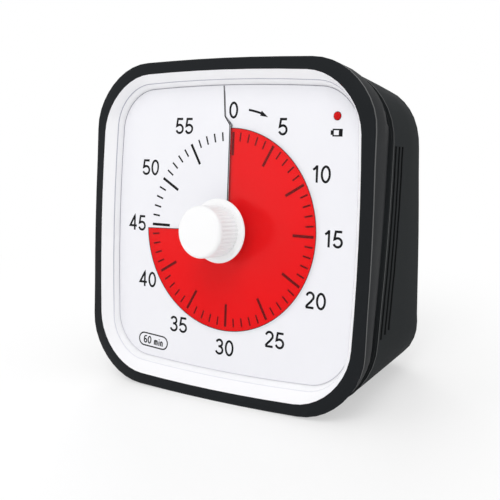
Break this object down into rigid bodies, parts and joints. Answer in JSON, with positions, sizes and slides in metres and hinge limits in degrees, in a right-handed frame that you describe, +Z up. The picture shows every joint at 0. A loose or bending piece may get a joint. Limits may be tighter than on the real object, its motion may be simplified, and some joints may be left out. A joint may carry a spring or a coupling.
{
  "type": "visual countdown timer",
  "caption": "Leaning rounded-square desk timer: a red film disc passes through a slit in the white dial, so red shows the minutes left; ribbed centre knob, black two-part housing.",
  "frame": {"origin": "middle of the flat underside of the rear body, on the surface that the timer stands on", "axes": "+Z up; the dial faces -Y and leans back 10 degrees; +X to the right as seen from the front"},
  "size_m": [0.098, 0.0606, 0.0985],
  "materials": {
    "frame_black": "moulded ABS, fine spark-eroded texture, satin",
    "rear_black": "moulded ABS, fine spark-eroded texture, satin",
    "bezel_white": "moulded ABS, smooth, half gloss",
    "card_white": "printed plastic card, matt",
    "film_red": "translucent polyester film, glossy",
    "hub_white": "moulded acetal",
    "knob_white": "moulded ABS, smooth, half gloss",
    "steel": "bright steel",
    "screw_steel": "zinc-plated steel",
    "brass": "turned brass",
    "movement_grey": "moulded styrene",
    "copper_wire": "enamelled copper wire",
    "board_green": "glass-epoxy board with solder mask",
    "light_red": "tinted epoxy lens",
    "part_black": "moulded thermoplastic",
    "cell_jacket": "printed jacket on a steel can"
  },
  "bodies": {
    "housing": {"front_shell": "frame_black", "rear_shell": "rear_black", "bezel": "bezel_white", "dial_card": "card_white", "bush": "brass", "bush_nut": "brass", "movement_case": "movement_grey", "movement_cover": "movement_grey", "motor_coil": "copper_wire", "motor_stator": "steel", "circuit_board": "board_green", "led": "light_red", "buzzer": "part_black", "battery_1": "cell_jacket", "battery_2": "cell_jacket", "contact_springs": "steel", "contact_tabs": "steel", "contact_bridge": "steel", "switch_body": "movement_grey", "case_screws": "screw_steel"},
    "dial_drive": {"knob": "knob_white", "spindle": "steel", "disc_hub": "hub_white", "time_disc": "film_red", "centre_wheel": "brass", "clutch_spring": "steel"},
    "third_wheel": {"third_wheel": "brass"},
    "battery_door": {"battery_door": "rear_black"},
    "volume_slider": {"volume_slider": "part_black"}
  },
  "joints": [
    {"name": "knob_turn", "type": "hinge", "parent": "housing", "child": "dial_drive", "pos_m": [0, -0.02211, 0.04979], "axis": [0, 0.9848, -0.1736], "range_deg": [-268.2, 89.8], "deforming": ["time_disc"]},
    {"name": "third_wheel_turn", "type": "hinge", "parent": "housing", "child": "third_wheel", "pos_m": [-0.01443, -0.00492, 0.03211], "axis": [0, 0.9848, -0.1736], "range_deg": [-675, 2013]},
    {"name": "battery_door_swing", "type": "hinge", "parent": "housing", "child": "battery_door", "pos_m": [0, 0.02324, 0.01346], "axis": [-1, 0, 0], "range_deg": [0, 90]},
    {"name": "volume_slide", "type": "slide", "parent": "housing", "child": "volume_slider", "axis": [1, 0, 0], "range_m": [-0.0025, 0.0025]}
  ],
  "couplings": [
    {"joint": "third_wheel_turn", "follows": "knob_turn", "ratio": -7.5}
  ]
}
